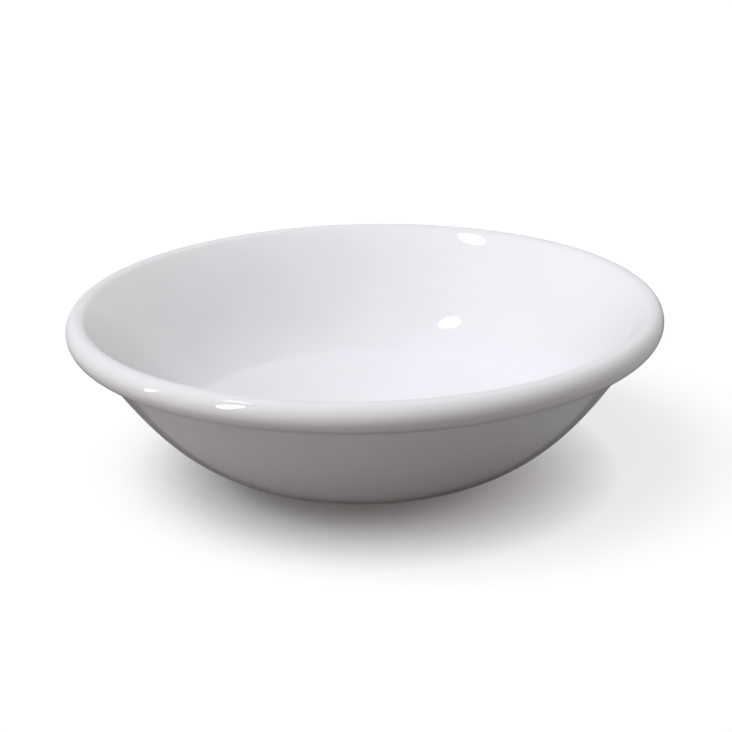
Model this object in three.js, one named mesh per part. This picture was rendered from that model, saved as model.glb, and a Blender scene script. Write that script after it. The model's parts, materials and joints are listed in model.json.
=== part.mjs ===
import * as THREE from "three";

// A small round fruit bowl of glazed hotel china, in millimetres, standing on the XY plane with its
// axis on Z. The clay body is one fired piece: a floor, a flared wall with a thick rolled lip, and a
// low foot ring. Glaze coats all of it but the ring, whose bare edge is all that the bowl stands on.

// Sizes of the finished bowl, measured over its glaze
const RIM_DIAMETER = 120; // over the rolled lip
const HEIGHT = 36; // from the foot's bearing to the top of the lip
const WALL_THICKNESS = 3; // of the wall and of the floor
const LIP_ROLL_RADIUS = 3.2; // of the rolled lip's outer and lower side
const LIP_CREST_RADIUS = 2; // of the lip's tighter top, which runs back into the wall's inner face
const LIP_CREST_START = THREE.MathUtils.degToRad(45); // round the roll, up from its widest place
const HOLLOW_RADIUS = 4; // of the soft hollow in which the roll runs into the wall's outer face
const WELL_DIAMETER = 76; // across the soft bend that parts the wall from the shallow well
const WELL_BEND_RADIUS = 4.5;
const FLOOR_DIAMETER = 26; // of the flat bottom of the well
const FOOT_DIAMETER = 38; // over the foot ring
const FOOT_WIDTH = 3.4; // of the foot ring, from its outer to its inner side
const FOOT_HEIGHT = 1.4; // from the bearing to the flat underside within the ring
const FOOT_FILLET_RADIUS = 0.6; // where the ring grows out of the belly and the underside
const FOOT_EDGE_RADIUS = 0.5; // of the ring's two worn edges
const GLAZE_THICKNESS = 0.3;

// The wall follows one curve from the flat floor to the lip. It leaves the floor level and heads out
// for a share of the way to the lip, and it comes up to the lip at this slope, from a share of the
// bowl's depth below it. The inner face lies on it down to the well, and the outer face behind it.
const LIP_SLOPE = THREE.MathUtils.degToRad(50);
const FLOOR_REACH_share = 0.616;
const LIP_APPROACH_share = 0.513;
const WELL_SLOPE = THREE.MathUtils.degToRad(24); // of the well just inside the bend

// Facets
const AROUND = 60;
const WALL_STEPS = 9;
const INSIDE_STEPS = 6; // of the inner face above the well
const WELL_STEPS = 5;
const LIP_STEPS = 4; // from the hollow to the lip's widest place
const HOLLOW_STEPS = 4;
const FILLET_STEPS = 2; // in each fillet and in each part of the lip above its widest place
const HALVINGS = 50; // of an interval that holds the place looked for

const QUARTER_TURN = Math.PI / 2;

const crestInset = LIP_ROLL_RADIUS - LIP_CREST_RADIUS;
const rollCentre = new THREE.Vector2(
  RIM_DIAMETER / 2 - LIP_ROLL_RADIUS,
  HEIGHT - LIP_CREST_RADIUS - crestInset * Math.sin(LIP_CREST_START),
);
const crestCentre = onRing(rollCentre, crestInset, LIP_CREST_START);
const floorLevel = FOOT_HEIGHT + WALL_THICKNESS;
const footRadius = FOOT_DIAMETER / 2;
const footInnerRadius = footRadius - FOOT_WIDTH;

const floorEdge = new THREE.Vector2(FLOOR_DIAMETER / 2, floorLevel);

// The bowl's section lies in a plane through its axis: x is the radius and y is the height.
const wallCurve = makeWallCurve();

function makeWallCurve() {
  const uphill = new THREE.Vector2(Math.cos(LIP_SLOPE), Math.sin(LIP_SLOPE));
  const lipEdge = onRing(crestCentre, LIP_CREST_RADIUS, QUARTER_TURN + LIP_SLOPE);
  const reach = THREE.MathUtils.lerp(floorEdge.x, lipEdge.x, FLOOR_REACH_share);
  const approach = LIP_APPROACH_share * (lipEdge.y - floorLevel);
  return new THREE.CubicBezierCurve(
    floorEdge,
    new THREE.Vector2(reach, floorLevel),
    lipEdge.clone().addScaledVector(uphill, -approach),
    lipEdge,
  );
}

function onRing(centre, radius, angle) {
  const ray = new THREE.Vector2(Math.cos(angle), Math.sin(angle));
  return centre.clone().addScaledVector(ray, radius);
}

// The direction into the bowl, a share of the way along a curve that runs outwards
function intoBowl(share, curve = wallCurve) {
  const along = curve.getTangent(share);
  return new THREE.Vector2(-along.y, along.x);
}

function behindWallCurve(share, depth) {
  return wallCurve.getPoint(share).addScaledVector(intoBowl(share), -depth);
}

// The share of the wall, from floor to lip, at which a value that changes sign once does so
function whereZero(value, from, to) {
  const rising = value(to) > 0;
  let [low, high] = [from, to];
  for (let i = 0; i < HALVINGS; i++) {
    const middle = (low + high) / 2;
    if (value(middle) > 0 === rising) high = middle;
    else low = middle;
  }
  return (low + high) / 2;
}

// The surface is a row of samples, each a point on the glaze and the direction out of the china.
function sample(point, out) {
  return { point, out };
}

// Samples round an arc. A hollow arc has the china outside it, so its way out is to its centre.
function arc(centre, radius, from, to, steps, hollow = false) {
  const samples = [];
  for (let i = 0; i <= steps; i++) {
    const angle = THREE.MathUtils.lerp(from, to, i / steps);
    const point = onRing(centre, radius, angle);
    const out = point.clone().sub(centre).normalize();
    samples.push(sample(point, hollow ? out.negate() : out));
  }
  return samples;
}

// Samples up the wall's outer face, between two places and without them
function outerFace(from, to) {
  const samples = [];
  for (let i = 1; i < WALL_STEPS; i++) {
    const share = THREE.MathUtils.lerp(from, to, i / WALL_STEPS);
    samples.push(sample(behindWallCurve(share, WALL_THICKNESS), intoBowl(share).negate()));
  }
  return samples;
}

// Samples over the lip from where it leaves the hollow, with one at its widest and one at its highest
function rolledLip(start) {
  const top = QUARTER_TURN;
  return [
    ...arc(rollCentre, LIP_ROLL_RADIUS, start, 0, LIP_STEPS).slice(1),
    ...arc(rollCentre, LIP_ROLL_RADIUS, 0, LIP_CREST_START, FILLET_STEPS).slice(1),
    ...arc(crestCentre, LIP_CREST_RADIUS, LIP_CREST_START, top, FILLET_STEPS).slice(1),
    ...arc(crestCentre, LIP_CREST_RADIUS, top, top + LIP_SLOPE, FILLET_STEPS).slice(1),
  ];
}

// Samples down the wall's inner face from the lip, round the bend and across the well to the axis
function inside() {
  const samples = [];
  const bendPlace = whereZero((share) => wallCurve.getPoint(share).x - WELL_DIAMETER / 2, 0, 1);
  for (let i = 1; i < INSIDE_STEPS; i++) {
    const share = THREE.MathUtils.lerp(1, bendPlace, i / INSIDE_STEPS);
    samples.push(sample(wallCurve.getPoint(share), intoBowl(share)));
  }

  const bendStart = intoBowl(bendPlace).negate().angle() - 2 * Math.PI;
  const bendCentre = behindWallCurve(bendPlace, -WELL_BEND_RADIUS);
  const bend = arc(bendCentre, WELL_BEND_RADIUS, bendStart, WELL_SLOPE - QUARTER_TURN, FILLET_STEPS, true);
  samples.push(...bend);

  const bendEnd = bend.at(-1).point;
  const wellFoot = new THREE.Vector2(bendEnd.x - (bendEnd.y - floorLevel) / Math.tan(WELL_SLOPE), floorLevel);
  const well = new THREE.QuadraticBezierCurve(floorEdge, wellFoot, bendEnd);
  for (let i = 1; i <= WELL_STEPS; i++) {
    const share = 1 - i / WELL_STEPS;
    samples.push(sample(well.getPoint(share), intoBowl(share, well)));
  }
  samples.push(sample(new THREE.Vector2(0, floorLevel), new THREE.Vector2(0, 1)));
  return samples;
}

// From the foot ring's outer side up the wall, over the lip and down the inside to the axis
function coatedSurface() {
  const hollowDepth = WALL_THICKNESS + HOLLOW_RADIUS;
  const hollowReach = LIP_ROLL_RADIUS + HOLLOW_RADIUS;
  const hollowPlace = whereZero(
    (share) => behindWallCurve(share, hollowDepth).distanceTo(rollCentre) - hollowReach,
    0,
    1,
  );
  const hollowCentre = behindWallCurve(hollowPlace, hollowDepth);

  const filletDepth = WALL_THICKNESS + FOOT_FILLET_RADIUS;
  const filletPlace = whereZero(
    (share) => behindWallCurve(share, filletDepth).x - footRadius - FOOT_FILLET_RADIUS,
    0,
    hollowPlace,
  );
  const filletCentre = behindWallCurve(filletPlace, filletDepth);

  const toFillet = intoBowl(filletPlace).angle();
  const toWall = intoBowl(hollowPlace).angle();
  const toLip = rollCentre.clone().sub(hollowCentre).angle();
  return [
    ...arc(filletCentre, FOOT_FILLET_RADIUS, Math.PI, toFillet, FILLET_STEPS, true),
    ...outerFace(filletPlace, hollowPlace),
    ...arc(hollowCentre, HOLLOW_RADIUS, toWall, toLip, HOLLOW_STEPS, true),
    ...rolledLip(toLip - Math.PI),
    ...inside(),
  ];
}

// From the axis across the flat underside to the foot ring's inner side
function underside() {
  const centre = new THREE.Vector2(footInnerRadius - FOOT_FILLET_RADIUS, FOOT_HEIGHT - FOOT_FILLET_RADIUS);
  return [
    sample(new THREE.Vector2(0, FOOT_HEIGHT), new THREE.Vector2(0, -1)),
    ...arc(centre, FOOT_FILLET_RADIUS, QUARTER_TURN, 0, FILLET_STEPS, true),
  ];
}

// The bare end of the foot ring, from its inner to its outer side
function bareFoot() {
  const inner = new THREE.Vector2(footInnerRadius + GLAZE_THICKNESS + FOOT_EDGE_RADIUS, FOOT_EDGE_RADIUS);
  const outer = new THREE.Vector2(footRadius - GLAZE_THICKNESS - FOOT_EDGE_RADIUS, FOOT_EDGE_RADIUS);
  return [
    ...arc(inner, FOOT_EDGE_RADIUS, Math.PI, Math.PI + QUARTER_TURN, FILLET_STEPS),
    ...arc(outer, FOOT_EDGE_RADIUS, -QUARTER_TURN, 0, FILLET_STEPS),
  ];
}

const pointsOf = (samples) => samples.map(({ point }) => point);

// The clay's surface lies under the glaze by its thickness.
const underGlaze = (samples) =>
  samples.map(({ point, out }) => point.clone().addScaledVector(out, -GLAZE_THICKNESS));

function turned(name, profile, colour, roughness) {
  const geometry = new THREE.LatheGeometry(profile, AROUND).rotateX(QUARTER_TURN);
  const material = new THREE.MeshStandardMaterial({ color: colour, roughness, metalness: 0 });
  const mesh = new THREE.Mesh(geometry, material);
  mesh.name = name;
  return mesh;
}

// The vitrified clay: all of the bowl's shape, with the dry foot ring that shows below the glaze
function chinaBody(coated, under) {
  const profile = [...underGlaze(under), ...pointsOf(bareFoot()), ...underGlaze(coated)];
  return turned("china_body", profile, "#e8e2d6", 0.6);
}

// The coat over the belly, the lip and the inside, which stops at the top of the foot ring
function glazeCoat(coated) {
  const profile = [...underGlaze(coated).reverse(), ...pointsOf(coated)];
  return turned("glaze_coat", profile, "#eceef1", 0.12);
}

// The glazed disc inside the foot ring
function undersideGlaze(under) {
  const profile = [...pointsOf(under), ...underGlaze(under).reverse()];
  return turned("underside_glaze", profile, "#eceef1", 0.12);
}

const coated = coatedSurface();
const under = underside();

const bowl = new THREE.Group();
bowl.add(chinaBody(coated, under), glazeCoat(coated), undersideGlaze(under));

export default bowl;
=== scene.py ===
"""Turns and glazes a small china fruit bowl in place of its plain solids, and sets up its studio"""

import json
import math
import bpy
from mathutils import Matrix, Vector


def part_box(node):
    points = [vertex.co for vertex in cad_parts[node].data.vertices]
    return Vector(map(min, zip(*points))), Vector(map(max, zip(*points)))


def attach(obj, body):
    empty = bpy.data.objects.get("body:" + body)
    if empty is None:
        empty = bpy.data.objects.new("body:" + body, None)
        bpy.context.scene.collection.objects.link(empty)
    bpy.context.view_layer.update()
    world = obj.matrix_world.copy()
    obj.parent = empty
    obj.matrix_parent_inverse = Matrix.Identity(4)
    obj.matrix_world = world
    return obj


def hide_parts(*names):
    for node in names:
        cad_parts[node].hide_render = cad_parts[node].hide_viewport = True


bl_info = {
    "name": "Fruit Bowl",
    "version": (1, 0, 0),
    "blender": (4, 5, 0),
    "location": "3D View > Sidebar > Fruit Bowl",
    "description": "Turns and glazes a small china fruit bowl, and sets up its studio",
    "category": "Add Mesh",
}

from typing import NamedTuple

import bpy
from bpy.props import FloatProperty, FloatVectorProperty, IntProperty, PointerProperty
from mathutils import Quaternion, Vector

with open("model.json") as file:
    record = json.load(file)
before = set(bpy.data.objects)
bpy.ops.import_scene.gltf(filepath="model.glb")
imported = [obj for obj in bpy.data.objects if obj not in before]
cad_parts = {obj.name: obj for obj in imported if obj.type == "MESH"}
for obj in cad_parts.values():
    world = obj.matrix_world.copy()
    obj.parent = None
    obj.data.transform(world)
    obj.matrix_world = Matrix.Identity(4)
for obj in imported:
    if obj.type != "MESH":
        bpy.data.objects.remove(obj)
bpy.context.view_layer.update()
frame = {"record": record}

QUARTER_TURN = math.pi / 2
MM = 0.001

# How many steps each stretch of the section has
WALL_STEPS = 56
WELL_STEPS = 30
FLOOR_STEPS = 5
LIP_STEPS = 14
HOLLOW_STEPS = 14
FILLET_STEPS = 7
BEAD_STEPS = 8

# Only every so many points are kept on a face that other pieces hide
HIDDEN_STRIDE = 4
# Two points of a turned piece that lie closer are one
SAME_POINT = 2e-6
# How often where_zero halves the stretch in which it looks
HALVINGS = 50

# The height up to which a coat's edge wanders in full, and the height from which it no longer does
BOWL_GLAZE_LINE = (1.25 * MM, 2.0 * MM)
FOOT_GLAZE_LINE = (0.8 * MM, 1.35 * MM)
WANDERS_PER_METRE = 190.0
WANDER_SEED = 3.0

# How strongly each change of tone shows
WELL_POOLING = 0.5
FOOT_POOLING = 0.7
LIP_THINNING = 1.4
IRON_STRENGTH = 0.45
CLAY_SPECK_STRENGTH = 0.6

GLAZE_IOR = 1.52
# Roughness: of the glaze, what use adds in the well, of the clay, and what rubbing takes off
SMOOTHEST_GLAZE = 0.02
ROUGHEST_GLAZE = 0.04
SPOON_WEAR = 0.02
CLAY_ROUGHNESS = 0.82
RUBBED_SMOOTHER = 0.3

# The glaze's gloss seen straight on, and the two shares of edge-on between which it fades to none
FULL_GLOSS = 0.5
GLOSS_FADES_FROM = 0.3
GLOSS_GONE_AT = 0.85

# The camera's film in millimetres, and how near and how far it sees in metres
FILM_WIDTH = 36.0
NEAREST_SEEN = 0.01
FARTHEST_SEEN = 20.0

FLOOR_HALF_WIDTH = 2.0
FLOOR_DROP = 0.01 * MM
WHITE = (1.0, 1.0, 1.0, 1.0)


def width_of(node):
    """How wide a solid is from side to side"""
    low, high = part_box(node)
    return high.x - low.x


def record_colour(slot):
    """The colour that the record gives to a material"""
    for entry in frame["record"]["materials"]:
        if entry["slot"] == slot:
            return tuple(entry["base_color"])
    raise RuntimeError(f"the record has no slot named {slot}")


def length(name, description, default):
    return FloatProperty(
        name=name, description=description, default=default, min=0.0, subtype="DISTANCE", unit="LENGTH"
    )


def angle(name, description, default):
    return FloatProperty(
        name=name, description=description, default=default, subtype="ANGLE", unit="ROTATION"
    )


def share(name, description, default):
    return FloatProperty(
        name=name, description=description, default=default, min=0.0, max=1.0, subtype="FACTOR"
    )


def strength(name, description, default):
    return FloatProperty(name=name, description=description, default=default, min=0.0)


def colour(name, description, default):
    return FloatVectorProperty(
        name=name, description=description, default=default, size=3, subtype="COLOR", min=0.0, max=1.0
    )


class BowlForm(bpy.types.PropertyGroup):
    """The sizes of the finished bowl, over its glaze"""

    rim_diameter: length("Rim diameter", "Across the rolled lip", width_of("glaze_coat"))
    height: length("Height", "From the foot's bearing to the top of the lip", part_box("glaze_coat")[1].z)
    wall_thickness: length("Wall thickness", "Of the wall and of the floor", 3 * MM)
    lip_roll_radius: length("Lip roll radius", "Of the rolled lip's outer and lower side", 3.2 * MM)
    lip_crest_radius: length("Lip crest radius", "Of the rolled lip's tighter top", 2 * MM)
    lip_crest_start: angle("Lip crest start", "Round the roll, up from its widest place", math.radians(45))
    hollow_radius: length("Hollow radius", "Of the soft hollow between the roll and the wall", 4 * MM)
    well_diameter: length("Well diameter", "Across the soft bend that parts the wall from the well", 76 * MM)
    well_bend_radius: length("Well bend", "Radius of the bend between the wall and the well", 4.5 * MM)
    floor_diameter: length("Floor diameter", "Of the flat bottom of the well", 26 * MM)
    foot_diameter: length("Foot diameter", "Over the foot ring", 38 * MM)
    underside_diameter: length("Underside diameter", "Within the foot ring", width_of("underside_glaze"))
    foot_height: length("Foot height", "From the bearing to the flat underside", 1.4 * MM)
    foot_fillet_radius: length("Foot fillet", "Where the ring grows out of the belly", 0.6 * MM)
    foot_edge_radius: length("Foot edge", "Radius of the ring's two worn edges", 0.5 * MM)
    glaze_thickness: length("Glaze thickness", "Of the coat over the clay", 0.3 * MM)
    lip_slope: angle("Lip slope", "Of the wall's inner face where it meets the lip", math.radians(50))
    well_slope: angle("Well slope", "The slope of the well just inside its bend", math.radians(24))
    floor_reach: share("Floor reach", "The share of the width over which the wall leaves the floor", 0.616)
    lip_approach: share("Lip approach", "The share of the depth over which the wall meets the lip", 0.513)
    divisions: IntProperty(
        name="Divisions", description="Faces round the bowl", default=256, min=12, max=360
    )
    glaze_line_wander: length("Glaze line wander", "How unevenly the glaze was wiped off the foot", 0.12 * MM)


# The section, in the half plane where x is the radius and y the height.


class Sample(NamedTuple):
    """A point on the glaze, and the direction out of the china there"""

    point: Vector
    out: Vector


def on_ring(centre, radius, bearing):
    return centre + radius * Vector((math.cos(bearing), math.sin(bearing)))


def angle_of(direction):
    return math.atan2(direction.y, direction.x)


def arc(centre, radius, start, end, steps, hollow=False):
    """Samples round an arc. A hollow arc has the china outside it, so out is towards its centre."""
    samples = []
    for i in range(steps + 1):
        point = on_ring(centre, radius, start + (end - start) * i / steps)
        out = (point - centre).normalized()
        samples.append(Sample(point, -out if hollow else out))
    return samples


def where_zero(value, start, end):
    """The place between start and end at which a value that changes sign once does so"""
    rising = value(end) > 0
    low, high = start, end
    for _ in range(HALVINGS):
        middle = (low + high) / 2
        if (value(middle) > 0) == rising:
            high = middle
        else:
            low = middle
    return (low + high) / 2


def along_curve(points, way):
    """The place that share of the way along a Bezier curve, and the direction to its left"""
    while len(points) > 2:
        points = [a.lerp(b, way) for a, b in zip(points, points[1:])]
    along = (points[1] - points[0]).normalized()
    return points[0].lerp(points[1], way), Vector((-along.y, along.x))


class Section:
    """The bowl's section, from the sizes of its form"""

    def __init__(self, form):
        self.form = form
        inset = form.lip_roll_radius - form.lip_crest_radius
        roll_height = form.height - form.lip_crest_radius - inset * math.sin(form.lip_crest_start)
        self.roll_centre = Vector((form.rim_diameter / 2 - form.lip_roll_radius, roll_height))
        self.crest_centre = on_ring(self.roll_centre, inset, form.lip_crest_start)
        self.floor_level = form.foot_height + form.wall_thickness
        self.floor_edge = Vector((form.floor_diameter / 2, self.floor_level))
        lip_edge = on_ring(self.crest_centre, form.lip_crest_radius, QUARTER_TURN + form.lip_slope)
        uphill = Vector((math.cos(form.lip_slope), math.sin(form.lip_slope)))
        reach = self.floor_edge.x + (lip_edge.x - self.floor_edge.x) * form.floor_reach
        leaving = Vector((reach, self.floor_level))
        arriving = lip_edge - uphill * form.lip_approach * (lip_edge.y - self.floor_level)
        self.wall_curve = [self.floor_edge, leaving, arriving, lip_edge]

    def behind_wall_curve(self, way, depth):
        """The sample that far behind the wall's inner face, with out as the direction into the bowl"""
        point, into_bowl = along_curve(self.wall_curve, way)
        return Sample(point - into_bowl * depth, into_bowl)

    def hollow_place(self):
        """Where on the wall the hollow ends, whose arc touches the lip's roll and the outer face"""
        depth = self.form.wall_thickness + self.form.hollow_radius
        clear = self.form.lip_roll_radius + self.form.hollow_radius

        def gap_to_roll(way):
            return (self.behind_wall_curve(way, depth).point - self.roll_centre).length - clear

        return where_zero(gap_to_roll, 0, 1)

    def fillet_place(self, hollow_place):
        """Where on the wall the fillet ends, whose arc touches the foot ring and the outer face"""
        depth = self.form.wall_thickness + self.form.foot_fillet_radius
        radius = self.form.foot_diameter / 2 + self.form.foot_fillet_radius
        return where_zero(lambda way: self.behind_wall_curve(way, depth).point.x - radius, 0, hollow_place)

    def outer_face(self, start, end):
        """The wall's outer face between two places, without its two ends"""
        samples = []
        for i in range(1, WALL_STEPS):
            way = start + (end - start) * i / WALL_STEPS
            point, into_bowl = self.behind_wall_curve(way, self.form.wall_thickness)
            samples.append(Sample(point, -into_bowl))
        return samples

    def rolled_lip(self, start):
        """From the end of the hollow over the lip's widest and highest places to the wall's inner face"""
        form = self.form
        roll, crest, crest_start = form.lip_roll_radius, form.lip_crest_radius, form.lip_crest_start
        return (
            arc(self.roll_centre, roll, start, 0, LIP_STEPS)[1:]
            + arc(self.roll_centre, roll, 0, crest_start, FILLET_STEPS)[1:]
            + arc(self.crest_centre, crest, crest_start, QUARTER_TURN, FILLET_STEPS)[1:]
            + arc(self.crest_centre, crest, QUARTER_TURN, QUARTER_TURN + form.lip_slope, LIP_STEPS)[1:]
        )

    def inside(self):
        """Down the wall's inner face from the lip, round the bend and across the well to the axis"""
        form = self.form
        well_radius = form.well_diameter / 2
        bend_place = where_zero(lambda way: self.behind_wall_curve(way, 0).point.x - well_radius, 0, 1)
        samples = []
        for i in range(1, WALL_STEPS):
            samples.append(self.behind_wall_curve(1 + (bend_place - 1) * i / WALL_STEPS, 0))

        bend_centre, into_bowl = self.behind_wall_curve(bend_place, -form.well_bend_radius)
        bend_start = angle_of(-into_bowl)
        bend_end = form.well_slope - QUARTER_TURN
        samples += arc(bend_centre, form.well_bend_radius, bend_start, bend_end, FILLET_STEPS, hollow=True)

        well_edge = samples[-1].point
        run = (well_edge.y - self.floor_level) / math.tan(form.well_slope)
        well = [self.floor_edge, Vector((well_edge.x - run, self.floor_level)), well_edge]
        samples += [Sample(*along_curve(well, 1 - i / WELL_STEPS)) for i in range(1, WELL_STEPS + 1)]
        for i in range(1, FLOOR_STEPS + 1):
            radius = form.floor_diameter / 2 * (1 - i / FLOOR_STEPS)
            samples.append(Sample(Vector((radius, self.floor_level)), Vector((0, 1))))
        return samples

    def coated(self):
        """From the foot ring's outer side up the wall, over the lip and down the inside to the axis"""
        form = self.form
        hollow_place = self.hollow_place()
        hollow_depth = form.wall_thickness + form.hollow_radius
        hollow_centre, over_hollow = self.behind_wall_curve(hollow_place, hollow_depth)
        fillet_place = self.fillet_place(hollow_place)
        fillet_depth = form.wall_thickness + form.foot_fillet_radius
        fillet_centre, over_fillet = self.behind_wall_curve(fillet_place, fillet_depth)
        to_fillet = angle_of(over_fillet)
        to_wall = angle_of(over_hollow)
        to_lip = angle_of(self.roll_centre - hollow_centre)
        return (
            arc(fillet_centre, form.foot_fillet_radius, math.pi, to_fillet, FILLET_STEPS, hollow=True)
            + self.outer_face(fillet_place, hollow_place)
            + arc(hollow_centre, form.hollow_radius, to_wall, to_lip, HOLLOW_STEPS, hollow=True)
            + self.rolled_lip(to_lip - math.pi)
            + self.inside()
        )

    def underside(self):
        """From the axis across the flat underside to the foot ring's inner side"""
        form = self.form
        radius = form.foot_fillet_radius
        centre = Vector((form.underside_diameter / 2 - radius, form.foot_height - radius))
        flat = []
        for i in range(FLOOR_STEPS):
            flat.append(Sample(Vector((centre.x * i / FLOOR_STEPS, form.foot_height)), Vector((0, -1))))
        return flat + arc(centre, radius, QUARTER_TURN, 0, FILLET_STEPS, hollow=True)

    def bare_foot(self):
        """The bare end of the foot ring, from its inner to its outer side"""
        form = self.form
        radius = form.foot_edge_radius
        inner = Vector((form.underside_diameter / 2 + form.glaze_thickness + radius, radius))
        outer = Vector((form.foot_diameter / 2 - form.glaze_thickness - radius, radius))
        return arc(inner, radius, math.pi, math.pi + QUARTER_TURN, FILLET_STEPS) + arc(
            outer, radius, -QUARTER_TURN, 0, FILLET_STEPS
        )

    def under_glaze(self, samples):
        """The clay's surface, which lies under the glaze by its thickness"""
        return [s.point - s.out * self.form.glaze_thickness for s in samples]

    def glaze_bead(self, edge, towards):
        """The round edge in which a coat ends, from its surface at edge to the clay that lies towards"""
        radius = self.form.glaze_thickness / 2
        centre = edge.point - edge.out * radius
        start = angle_of(edge.out)
        turn = -math.pi if towards.x < edge.point.x else math.pi
        return [on_ring(centre, radius, start + turn * i / BEAD_STEPS) for i in range(1, BEAD_STEPS)]


def points_of(samples):
    return [s.point for s in samples]


def thinned(points):
    """Fewer points for a face that other pieces hide, with both its ends"""
    kept = points[::HIDDEN_STRIDE]
    return kept if kept[-1] is points[-1] else kept + [points[-1]]


# Turning a section round the bowl's axis.


class Tree:
    """Adds nodes to a node tree"""

    def __init__(self, tree):
        self.tree = tree

    def add(self, kind, feeds=None, **settings):
        """A new node with its settings, and with a value or another node's output for each input fed"""
        node = self.tree.nodes.new(kind)
        for name, value in settings.items():
            setattr(node, name, value)
        for key, value in (feeds or {}).items():
            self.give(node.inputs[key], value)
        return node

    def give(self, socket, value):
        """Feeds a socket from another node's output, or else sets its value"""
        if isinstance(value, bpy.types.NodeSocket):
            self.tree.links.new(value, socket)
        else:
            socket.default_value = value

    def maths(self, operation, *values):
        return self.add("ShaderNodeMath", dict(enumerate(values)), operation=operation).outputs[0]

    def times(self, *values):
        product = values[0]
        for value in values[1:]:
            product = self.maths("MULTIPLY", product, value)
        return product

    def ramp(self, value, low, high, to_low=0.0, to_high=1.0):
        """A smooth step from to_low, where the value is low, to to_high, where it is high"""
        return self.add(
            "ShaderNodeMapRange",
            {"Value": value, "From Min": low, "From Max": high, "To Min": to_low, "To Max": to_high},
            interpolation_type="SMOOTHSTEP",
        ).outputs[0]

    def blend(self, amount, first, second, blend_type="MIX"):
        """Two colours mixed. The sockets for colours come last on the node, so they go by number."""
        feeds = {0: amount, 6: first, 7: second}
        return self.add("ShaderNodeMix", feeds, data_type="RGBA", blend_type=blend_type).outputs[2]


TURNING_INPUTS = (
    ("Divisions", "NodeSocketInt", 256),
    ("Same point", "NodeSocketFloat", SAME_POINT),
    ("Glaze line wander", "NodeSocketFloat", 0.0),
    ("Glaze line level", "NodeSocketFloat", 0.0),
    ("Wander ends at", "NodeSocketFloat", 1.0),
    ("Seed", "NodeSocketFloat", WANDER_SEED),
)


def turned_sheet(tree, given, place):
    """A sheet with a copy of the section in each column, rolled up round the axis and closed"""
    rows = tree.add(
        "GeometryNodeAttributeDomainSize", {"Geometry": given["Section"]}, component="MESH"
    ).outputs[0]
    columns = tree.maths("ADD", given["Divisions"], 1.0)
    sheet = tree.add("GeometryNodeMeshGrid", {"Vertices X": columns, "Vertices Y": rows}).outputs["Mesh"]

    # The sheet's points are numbered along one column after the other.
    index = tree.add("GeometryNodeInputIndex").outputs[0]
    row = tree.maths("FLOORED_MODULO", index, rows)
    column = tree.maths("FLOOR", tree.maths("DIVIDE", index, rows))
    on_section = tree.add(
        "GeometryNodeSampleIndex",
        {"Geometry": given["Section"], "Value": place, "Index": row},
        data_type="FLOAT_VECTOR",
        domain="POINT",
    ).outputs[0]
    turn = tree.maths("MULTIPLY", tree.maths("DIVIDE", column, given["Divisions"]), math.tau)
    turned = tree.add(
        "ShaderNodeVectorRotate", {"Vector": on_section, "Angle": turn}, rotation_type="Z_AXIS"
    ).outputs[0]
    piece = tree.add("GeometryNodeSetPosition", {"Geometry": sheet, "Position": turned}).outputs[0]
    return tree.add(
        "GeometryNodeMergeByDistance", {"Geometry": piece, "Distance": given["Same point"]}
    ).outputs[0]


def wandering_edge(tree, given, place, piece):
    """The piece with its lower edge a little uneven round the foot, where the glaze was wiped off by hand"""
    uneven = tree.add(
        "ShaderNodeTexNoise",
        {"Vector": place, "W": given["Seed"], "Scale": WANDERS_PER_METRE, "Detail": 2.0},
        noise_dimensions="4D",
    ).outputs[0]
    level = tree.add("ShaderNodeSeparateXYZ", {"Vector": place}).outputs["Z"]
    near_edge = tree.ramp(level, given["Glaze line level"], given["Wander ends at"], to_low=1.0, to_high=0.0)
    rise = tree.times(given["Glaze line wander"], uneven, near_edge)
    lift = tree.add("ShaderNodeCombineXYZ", {"Z": rise}).outputs[0]
    return tree.add("GeometryNodeSetPosition", {"Geometry": piece, "Offset": lift}).outputs[0]


def turning_tree(material):
    """A node tree that turns its input, a row of points on a section, into a closed piece of revolution"""
    group = bpy.data.node_groups.new("Turn a section round the axis", "GeometryNodeTree")
    face = group.interface
    face.new_socket("Section", in_out="INPUT", socket_type="NodeSocketGeometry")
    for name, kind, default in TURNING_INPUTS:
        face.new_socket(name, in_out="INPUT", socket_type=kind).default_value = default
    face.new_socket("Turned piece", in_out="OUTPUT", socket_type="NodeSocketGeometry")

    tree = Tree(group)
    given = tree.add("NodeGroupInput").outputs
    place = tree.add("GeometryNodeInputPosition").outputs[0]
    piece = turned_sheet(tree, given, place)
    piece = wandering_edge(tree, given, place, piece)
    piece = tree.add("GeometryNodeSetShadeSmooth", {"Geometry": piece}).outputs[0]
    piece = tree.add("GeometryNodeRealizeInstances", {"Geometry": piece}).outputs[0]
    piece = tree.add("GeometryNodeSetMaterial", {"Geometry": piece, "Material": material}).outputs[0]
    tree.add("NodeGroupOutput", {"Turned piece": piece})
    return group


def glaze_line(form, heights):
    """The turning tree's inputs for a coat whose edge wanders between two heights"""
    level, end = heights
    return {"Glaze line wander": form.glaze_line_wander, "Glaze line level": level, "Wander ends at": end}


def turn_piece(name, profile, material, form, inputs=None):
    """A closed piece from a profile whose two ends lie on the axis"""
    mesh = bpy.data.meshes.new(name)
    lines = [(i, i + 1) for i in range(len(profile) - 1)]
    mesh.from_pydata([(point.x, 0.0, point.y) for point in profile], lines, [])
    piece = bpy.data.objects.new(name, mesh)
    bpy.context.scene.collection.objects.link(piece)
    modifier = piece.modifiers.new("Turning", "NODES")
    modifier.node_group = turning_tree(material)
    values = {"Divisions": form.divisions, **(inputs or {})}
    for item in modifier.node_group.interface.items_tree:
        if item.in_out == "INPUT" and item.name in values:
            modifier[item.identifier] = values[item.name]
    turned = bpy.data.meshes.new_from_object(piece.evaluated_get(bpy.context.evaluated_depsgraph_get()))
    turned.name = name
    piece.modifiers.clear()
    piece.data = turned
    bpy.data.meshes.remove(mesh)
    return piece


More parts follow.
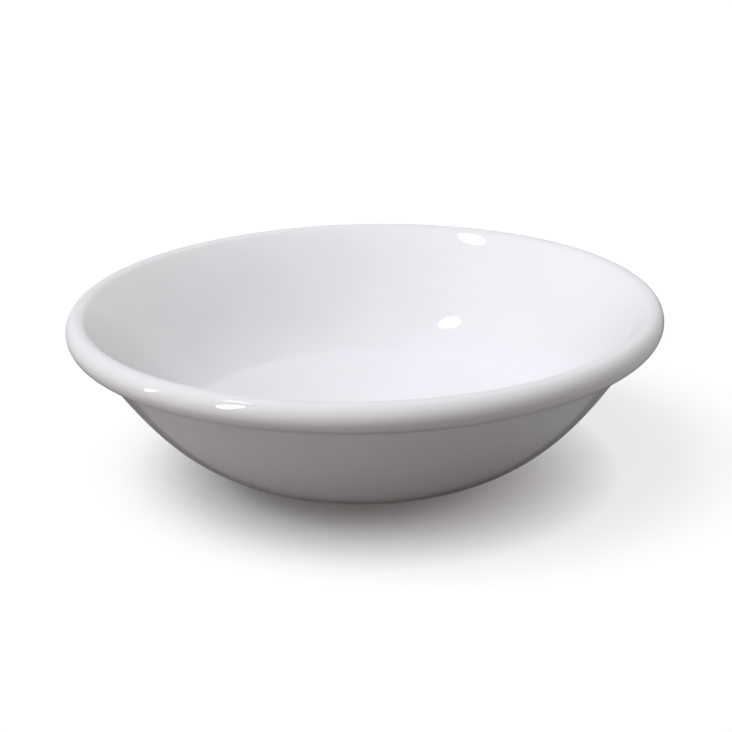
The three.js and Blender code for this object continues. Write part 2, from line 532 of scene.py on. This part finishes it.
class Finish(bpy.types.PropertyGroup):
    """The colours of the glaze and of the fired clay"""

    glaze: colour("Glaze", "The white glaze over the clay", record_colour("glaze"))
    thin_glaze: colour("Thin glaze", "The glaze where it is drawn thin over the lip", (0.86, 0.865, 0.86))
    pooled_glaze: colour("Pooled glaze", "The glaze where it has run together", (0.83, 0.85, 0.865))
    clay: colour("Clay", "The bare fired clay of the foot", record_colour("china"))
    rubbed_clay: colour("Rubbed clay", "The clay that rubs on the table", (0.56, 0.52, 0.46))
    iron_specks: colour("Iron specks", "The specks in the glaze", (0.33, 0.29, 0.24))
    clay_specks: colour("Clay specks", "The specks in the clay", (0.3, 0.24, 0.18))


class Surface(Tree):
    """A material's node tree with its shader, read in the bowl's own coordinates"""

    def __init__(self, name):
        self.material = bpy.data.materials.new(name)
        self.material.use_nodes = True
        super().__init__(self.material.node_tree)
        self.shader = self.tree.nodes["Principled BSDF"]
        self.place = self.add("ShaderNodeTexCoord").outputs["Object"]

    def feed(self, name, value):
        """Feeds one of the shader's inputs"""
        self.give(self.shader.inputs[name], value)

    def noise(self, size, detail=2.0, roughness=0.5):
        """Noise with features of about that size, from 0 to 1"""
        feeds = {"Vector": self.place, "Scale": 1 / size, "Detail": detail, "Roughness": roughness}
        return self.add("ShaderNodeTexNoise", feeds).outputs[0]

    def height_and_radius(self):
        """The height above the table and the distance from the bowl's axis"""
        parts = self.add("ShaderNodeSeparateXYZ", {"Vector": self.place}).outputs
        flat = self.add("ShaderNodeCombineXYZ", {"X": parts["X"], "Y": parts["Y"]}).outputs[0]
        radius = self.add("ShaderNodeVectorMath", {0: flat}, operation="LENGTH").outputs["Value"]
        return parts["Z"], radius

    def bump(self, height, depth, under=None):
        """Relief of that depth where the height goes from 0 to 1, on top of the relief under it"""
        feeds = {"Height": height, "Distance": depth, "Strength": 1.0}
        if under is not None:
            feeds["Normal"] = under
        return self.add("ShaderNodeBump", feeds).outputs[0]

    def specks(self, spacing, size, filled):
        """1 in round specks of about that size. Places lie about a spacing apart, and a share is filled."""
        feeds = {"Vector": self.place, "Scale": 1 / spacing, "Randomness": 1.0}
        cells = self.add("ShaderNodeTexVoronoi", feeds, feature="F1").outputs
        chance = self.add("ShaderNodeSeparateColor", {"Color": cells["Color"]}).outputs["Red"]
        chosen = self.maths("GREATER_THAN", chance, 1 - filled)
        core = size / spacing * 0.3
        edge = size / spacing * 0.6
        return self.times(chosen, self.ramp(cells["Distance"], core, edge, to_low=1.0, to_high=0.0))


def opaque(tone):
    return (*tone, 1.0)


def thin_glaze_place(surface, form):
    """1 on top of the lip, where the glaze runs off and stays thin"""
    height, radius = surface.height_and_radius()
    rim = form.rim_diameter / 2
    near_top = surface.ramp(height, low=form.height - 2.6 * MM, high=form.height - 0.4 * MM)
    near_rim = surface.ramp(radius, low=rim - 6 * MM, high=rim - 2 * MM)
    return surface.times(near_top, near_rim)


def pooled_glaze_places(surface, form):
    """1 in the well, and 1 at the foot, the two places where the glaze runs together"""
    height, radius = surface.height_and_radius()
    floor_edge = form.floor_diameter / 2
    near_axis = surface.ramp(
        radius, low=floor_edge - 4 * MM, high=floor_edge + 8 * MM, to_low=1.0, to_high=0.0
    )
    over_floor = surface.ramp(height, low=form.foot_height + 2 * MM, high=form.foot_height + 3 * MM)
    at_foot = surface.ramp(height, low=1.0 * MM, high=3.0 * MM, to_low=1.0, to_high=0.0)
    return surface.times(near_axis, over_floor), at_foot


def white_glaze(name, finish, form):
    """Glossy white glaze: a little thin over the lip, pooled where it runs together, and faintly rippled"""
    surface = Surface(name)
    in_well, at_foot = pooled_glaze_places(surface, form)
    over_lip = thin_glaze_place(surface, form)
    uneven = surface.noise(size=14 * MM, detail=3.0)
    pooled = opaque(finish.pooled_glaze)
    tone = surface.blend(surface.times(in_well, WELL_POOLING), opaque(finish.glaze), pooled)
    tone = surface.blend(surface.times(at_foot, FOOT_POOLING), tone, pooled)
    thinned_here = surface.times(over_lip, uneven, LIP_THINNING)
    tone = surface.blend(thinned_here, tone, opaque(finish.thin_glaze))
    clouds = surface.ramp(uneven, low=0.35, high=0.65, to_low=0.985, to_high=1.0)
    tone = surface.blend(1.0, tone, clouds, blend_type="MULTIPLY")
    iron = surface.specks(spacing=9 * MM, size=0.22 * MM, filled=0.1)
    tone = surface.blend(surface.times(iron, IRON_STRENGTH), tone, opaque(finish.iron_specks))
    surface.feed("Base Color", tone)

    scuffs = surface.noise(size=2.5 * MM, detail=5.0, roughness=0.7)
    scuffed = surface.ramp(scuffs, low=0.3, high=0.75, to_low=SMOOTHEST_GLAZE, to_high=ROUGHEST_GLAZE)
    spooned = surface.times(in_well, SPOON_WEAR)
    surface.feed("Roughness", surface.maths("ADD", scuffed, spooned))
    surface.feed("IOR", GLAZE_IOR)

    # The real bowl stood in a darker room than the white mirrored here, so its edges mirror less.
    edge_on = surface.add("ShaderNodeLayerWeight", {"Blend": 0.5}).outputs["Facing"]
    gloss = surface.ramp(edge_on, GLOSS_FADES_FROM, GLOSS_GONE_AT, to_low=FULL_GLOSS, to_high=0.0)
    surface.feed("Specular IOR Level", gloss)

    ripple = surface.bump(surface.noise(size=16 * MM, detail=1.0), depth=0.05 * MM)
    peel = surface.bump(surface.noise(size=1.6 * MM), depth=0.0012 * MM, under=ripple)
    pinholes = surface.specks(spacing=6 * MM, size=0.16 * MM, filled=0.15)
    surface.feed("Normal", surface.bump(pinholes, depth=-0.012 * MM, under=peel))
    return surface.material


def bare_clay(name, finish):
    """Fine unglazed china, with grain and specks, rubbed grey where the bowl stands on it"""
    surface = Surface(name)
    height, _ = surface.height_and_radius()
    grain = surface.noise(size=0.25 * MM, detail=4.0, roughness=0.7)
    patches = surface.noise(size=3.5 * MM, detail=4.0, roughness=0.65)
    dusty = surface.ramp(grain, low=0.25, high=0.75, to_low=0.9, to_high=1.0)
    toned = surface.blend(1.0, opaque(finish.clay), dusty, blend_type="MULTIPLY")
    specks = surface.specks(spacing=1.1 * MM, size=0.12 * MM, filled=0.3)
    speckled = surface.times(specks, CLAY_SPECK_STRENGTH)
    specked = surface.blend(speckled, toned, opaque(finish.clay_specks))
    on_table = surface.ramp(height, low=0.05 * MM, high=0.4 * MM, to_low=1.0, to_high=0.0)
    patchy = surface.ramp(patches, low=0.35, high=0.65, to_low=0.25, to_high=0.9)
    rubbed = surface.times(on_table, patchy)
    surface.feed("Base Color", surface.blend(rubbed, specked, opaque(finish.rubbed_clay)))
    smoother = surface.times(rubbed, RUBBED_SMOOTHER)
    surface.feed("Roughness", surface.maths("SUBTRACT", CLAY_ROUGHNESS, smoother))
    coarse = surface.bump(surface.noise(size=0.9 * MM, detail=3.0), depth=0.02 * MM)
    surface.feed("Normal", surface.bump(grain, depth=0.012 * MM, under=coarse))
    return surface.material


class Studio(bpy.types.PropertyGroup):
    """The camera, the lights and the floor"""

    lens: FloatProperty(
        name="Lens",
        description="Focal length on a 36 mm wide film",
        default=97.398,
        min=10.0,
        subtype="DISTANCE_CAMERA",
    )
    distance: length("Distance", "From the camera to the middle of the rim", 400 * MM)
    elevation: angle("Elevation", "How far the camera stands above the rim", math.radians(17.7907))
    aim_side: length("Aim aside", "How far right of the bowl's axis the camera aims", 0.048 * MM)
    aim_height: length("Aim height", "The height on the bowl's axis at which the camera aims", 22.0966 * MM)
    roll: angle("Roll", "How far the camera leans round its line of sight", math.radians(-1.2354))
    floor_bounce: share("Floor bounce", "How much of its light the floor throws back up at the bowl", 0.12)
    floor_white: strength("Floor white", "The floor's tone where it is seen", 1.25)
    shadow_share: share("Shadow", "How much of the bowl's shadow shows on the open floor", 0.25)
    shadow_reach: length("Shadow reach", "How near the bowl its shadow shows more", 16 * MM)
    window: strength("Windows", "How bright the windows are that the glaze mirrors", 13.0)
    room: strength("Room", "How bright the room's glows are", 1.0)


def aimed(obj, place, target):
    """The object at that place, looking at the target"""
    obj.location = place
    obj.rotation_mode = "QUATERNION"
    obj.rotation_quaternion = (Vector(target) - Vector(place)).to_track_quat("-Z", "Y")
    bpy.context.scene.collection.objects.link(obj)
    return obj


def towards(azimuth, elevation):
    """The direction to a place in the sky. The azimuth runs from +X over +Y."""
    flat = math.cos(elevation)
    return Vector((flat * math.cos(azimuth), flat * math.sin(azimuth), math.sin(elevation)))


def make_camera(studio, form):
    """The camera, which looks down on the bowl from in front"""
    data = bpy.data.cameras.new("camera")
    data.sensor_width = FILM_WIDTH
    data.lens = studio.lens
    data.clip_start = NEAREST_SEEN
    data.clip_end = FARTHEST_SEEN
    rim = Vector((0, 0, form.height))
    place = rim + studio.distance * towards(-QUARTER_TURN, studio.elevation)
    camera = aimed(bpy.data.objects.new("camera", data), place, (studio.aim_side, 0, studio.aim_height))
    camera.rotation_quaternion = camera.rotation_quaternion @ Quaternion((0, 0, 1), studio.roll)
    bpy.context.scene.camera = camera


class Window(NamedTuple):
    """A bright oval opening that the glaze mirrors: its place and its lean in degrees, and its size"""

    name: str
    azimuth: float
    elevation: float
    lean: float
    size: tuple


WINDOW_DISTANCE = 1.2
WINDOWS = (
    Window("skylight", -158.7, 55.9, 40.5, (0.181, 0.098)),
    Window("tall window", -141.5, 24, 0, (0.16, 0.7)),
    Window("small window", -174.5, 14, 0, (0.08, 0.4)),
)


def make_window(window, brightness, target):
    """A window that shows in the glaze alone, since the glows hold the light that it gives the bowl"""
    width, height = window.size
    data = bpy.data.lights.new(window.name, "AREA")
    data.shape = "ELLIPSE"
    data.size = width
    data.size_y = height
    area = math.pi / 4 * width * height
    data.energy = brightness * math.pi * area
    direction = towards(math.radians(window.azimuth), math.radians(window.elevation))
    light = aimed(bpy.data.objects.new(window.name, data), target + direction * WINDOW_DISTANCE, target)
    lean = Quaternion((0, 0, 1), math.radians(window.lean))
    light.rotation_quaternion = light.rotation_quaternion @ lean
    light.visible_diffuse = False


def seen_plainly(tree):
    """1 for the rays that show a background: the camera's, and those in reflections and through glass"""
    path = tree.add("ShaderNodeLightPath").outputs
    seen = tree.maths("MAXIMUM", path["Is Camera Ray"], path["Is Glossy Ray"])
    return tree.maths("MAXIMUM", seen, path["Is Transmission Ray"])


class Glow(NamedTuple):
    """A wide soft light in the room: its place in degrees, and its colour where it is brightest"""

    azimuth: float
    elevation: float
    narrowness: float
    colour: tuple


# The last glow comes from below, and lights the underside
GLOWS = (
    Glow(-149.0, 62.5, 15.8, (7.54, 7.54, 7.99)),
    Glow(15.0, 10.0, 17.0, (3.82, 3.52, 3.32)),
    Glow(-122.7, -5.2, 30.3, (9.44, 8.0, 7.06)),
    Glow(0.0, -90.0, 2.0, (1.1, 1.08, 1.05)),
)


def glow_light(tree, sky, glow, room):
    """The light of one glow in each direction of the sky"""
    centre = towards(math.radians(glow.azimuth), math.radians(glow.elevation))
    facing = tree.add("ShaderNodeVectorMath", {0: sky, 1: centre}, operation="DOT_PRODUCT").outputs["Value"]
    falloff = tree.maths("POWER", tree.maths("MAXIMUM", facing, 0.0), glow.narrowness)
    brightest = Vector(glow.colour) * room
    return tree.add("ShaderNodeVectorMath", {0: brightest, "Scale": falloff}, operation="SCALE").outputs[0]


def make_room(studio):
    """A dark room with soft glows, which is white where it is seen"""
    world = bpy.data.worlds.new("room")
    world.use_nodes = True
    tree = Tree(world.node_tree)
    world.node_tree.nodes.clear()
    sky = tree.add("ShaderNodeTexCoord").outputs["Generated"]
    light = Vector((0, 0, 0))
    for glow in GLOWS:
        parts = {0: light, 1: glow_light(tree, sky, glow, studio.room)}
        light = tree.add("ShaderNodeVectorMath", parts, operation="ADD").outputs[0]
    shown = tree.blend(seen_plainly(tree), light, WHITE)
    background = tree.add("ShaderNodeBackground", {"Color": shown, "Strength": 1.0}).outputs[0]
    tree.add("ShaderNodeOutputWorld", {"Surface": background})
    bpy.context.scene.world = world


def pale_floor(studio, form):
    """White where it is seen, grey for the light it throws back, clear from below and within the foot"""
    material = bpy.data.materials.new("pale floor")
    material.use_nodes = True
    tree = Tree(material.node_tree)
    material.node_tree.nodes.clear()
    seen = seen_plainly(tree)
    tone = tree.blend(seen, opaque([studio.floor_bounce] * 3), opaque([studio.floor_white] * 3))
    shadowed = tree.add("ShaderNodeBsdfDiffuse", {"Color": tone}).outputs[0]
    plain = tree.add("ShaderNodeEmission", {"Color": WHITE, "Strength": 1.0}).outputs[0]
    openness = tree.add("ShaderNodeAmbientOcclusion", {"Distance": studio.shadow_reach}).outputs["AO"]
    plain_share = tree.times(seen, openness, 1 - studio.shadow_share)
    lit = tree.add("ShaderNodeMixShader", {0: plain_share, 1: shadowed, 2: plain}).outputs[0]

    # The light from below reaches the underside within the ring on which the bowl stands.
    below = tree.add("ShaderNodeNewGeometry").outputs["Backfacing"]
    place = tree.add("ShaderNodeTexCoord").outputs["Object"]
    from_axis = tree.add("ShaderNodeVectorMath", {0: place}, operation="LENGTH").outputs["Value"]
    bearing_edge = form.foot_diameter / 2 - form.foot_edge_radius - form.glaze_thickness
    within_foot = tree.maths("LESS_THAN", from_axis, bearing_edge)
    unseen = tree.maths("MAXIMUM", below, within_foot)
    clear = tree.add("ShaderNodeBsdfTransparent").outputs[0]
    surface = tree.add("ShaderNodeMixShader", {0: unseen, 1: lit, 2: clear}).outputs[0]
    tree.add("ShaderNodeOutputMaterial", {"Surface": surface})
    return material


def make_floor(studio, form):
    """A square floor, just lower than the foot's bearing"""
    mesh = bpy.data.meshes.new("floor")
    corners = [(-1, -1), (1, -1), (1, 1), (-1, 1)]
    places = [(x * FLOOR_HALF_WIDTH, y * FLOOR_HALF_WIDTH, -FLOOR_DROP) for x, y in corners]
    mesh.from_pydata(places, [], [(0, 1, 2, 3)])
    mesh.materials.append(pale_floor(studio, form))
    floor = bpy.data.objects.new("floor", mesh)
    bpy.context.scene.collection.objects.link(floor)


class FRUITBOWL_OT_clay(bpy.types.Operator):
    """Turn the clay body, whose bare foot ring shows under the glaze"""

    bl_idname = "fruit_bowl.turn_clay"
    bl_label = "Turn the Clay"

    def execute(self, context):
        form = context.scene.fruit_bowl_form
        section = Section(form)
        profile = (
            section.under_glaze(section.underside())
            + points_of(section.bare_foot())
            + thinned(section.under_glaze(section.coated()))
        )
        material = bare_clay("bare clay", context.scene.fruit_bowl_finish)
        piece = turn_piece("clay_body", profile, material, form)
        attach(piece, "root")
        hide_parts("china_body")
        return {"FINISHED"}


class FRUITBOWL_OT_glaze(bpy.types.Operator):
    """Glaze the belly, the lip and the inside"""

    bl_idname = "fruit_bowl.glaze_bowl"
    bl_label = "Glaze the Bowl"

    def execute(self, context):
        form = context.scene.fruit_bowl_form
        section = Section(form)
        coated = section.coated()
        back = thinned(section.under_glaze(coated))[::-1]
        profile = back + section.glaze_bead(coated[0], back[-1])[::-1] + points_of(coated)
        material = white_glaze("white glaze", context.scene.fruit_bowl_finish, form)
        piece = turn_piece("bowl_glaze", profile, material, form, glaze_line(form, BOWL_GLAZE_LINE))
        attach(piece, "root")
        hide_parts("glaze_coat")
        return {"FINISHED"}


class FRUITBOWL_OT_underside(bpy.types.Operator):
    """Glaze the disc within the foot ring"""

    bl_idname = "fruit_bowl.glaze_underside"
    bl_label = "Glaze the Underside"

    def execute(self, context):
        form = context.scene.fruit_bowl_form
        section = Section(form)
        under = section.underside()
        back = section.under_glaze(under)[::-1]
        profile = points_of(under) + section.glaze_bead(under[-1], back[0]) + back
        material = white_glaze("white glaze", context.scene.fruit_bowl_finish, form)
        piece = turn_piece("foot_glaze", profile, material, form, glaze_line(form, FOOT_GLAZE_LINE))
        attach(piece, "root")
        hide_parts("underside_glaze")
        return {"FINISHED"}


class FRUITBOWL_OT_studio(bpy.types.Operator):
    """Set up the floor, the room, the lights and the camera"""

    bl_idname = "fruit_bowl.set_up_studio"
    bl_label = "Set Up the Studio"

    def execute(self, context):
        studio = context.scene.fruit_bowl_studio
        form = context.scene.fruit_bowl_form
        target = Vector((0, 0, form.height / 2))
        context.scene.view_settings.view_transform = "Standard"
        make_camera(studio, form)
        make_room(studio)
        make_floor(studio, form)
        for window in WINDOWS:
            make_window(window, studio.window, target)
        return {"FINISHED"}


class FRUITBOWL_PT_panel(bpy.types.Panel):
    """The bowl's steps and its sizes"""

    bl_label = "Fruit Bowl"
    bl_idname = "FRUITBOWL_PT_panel"
    bl_space_type = "VIEW_3D"
    bl_region_type = "UI"
    bl_category = "Fruit Bowl"

    def draw(self, context):
        for settings in GROUPS:
            group = getattr(context.scene, settings)
            box = self.layout.box()
            for name in group.__annotations__:
                box.prop(group, name)
        for step in STEPS:
            self.layout.operator(step.bl_idname)


STEPS = (FRUITBOWL_OT_clay, FRUITBOWL_OT_glaze, FRUITBOWL_OT_underside, FRUITBOWL_OT_studio)
GROUPS = {"fruit_bowl_form": BowlForm, "fruit_bowl_finish": Finish, "fruit_bowl_studio": Studio}
CLASSES = (*GROUPS.values(), *STEPS, FRUITBOWL_PT_panel)


def register():
    for made in CLASSES:
        bpy.utils.register_class(made)
    for name, group in GROUPS.items():
        setattr(bpy.types.Scene, name, PointerProperty(type=group))


def unregister():
    for name in GROUPS:
        delattr(bpy.types.Scene, name)
    for made in reversed(CLASSES):
        bpy.utils.unregister_class(made)


def main():
    register()
    bpy.ops.fruit_bowl.turn_clay()
    bpy.ops.fruit_bowl.glaze_bowl()
    bpy.ops.fruit_bowl.glaze_underside()
    bpy.ops.fruit_bowl.set_up_studio()


if __name__ == "__main__":
    main()
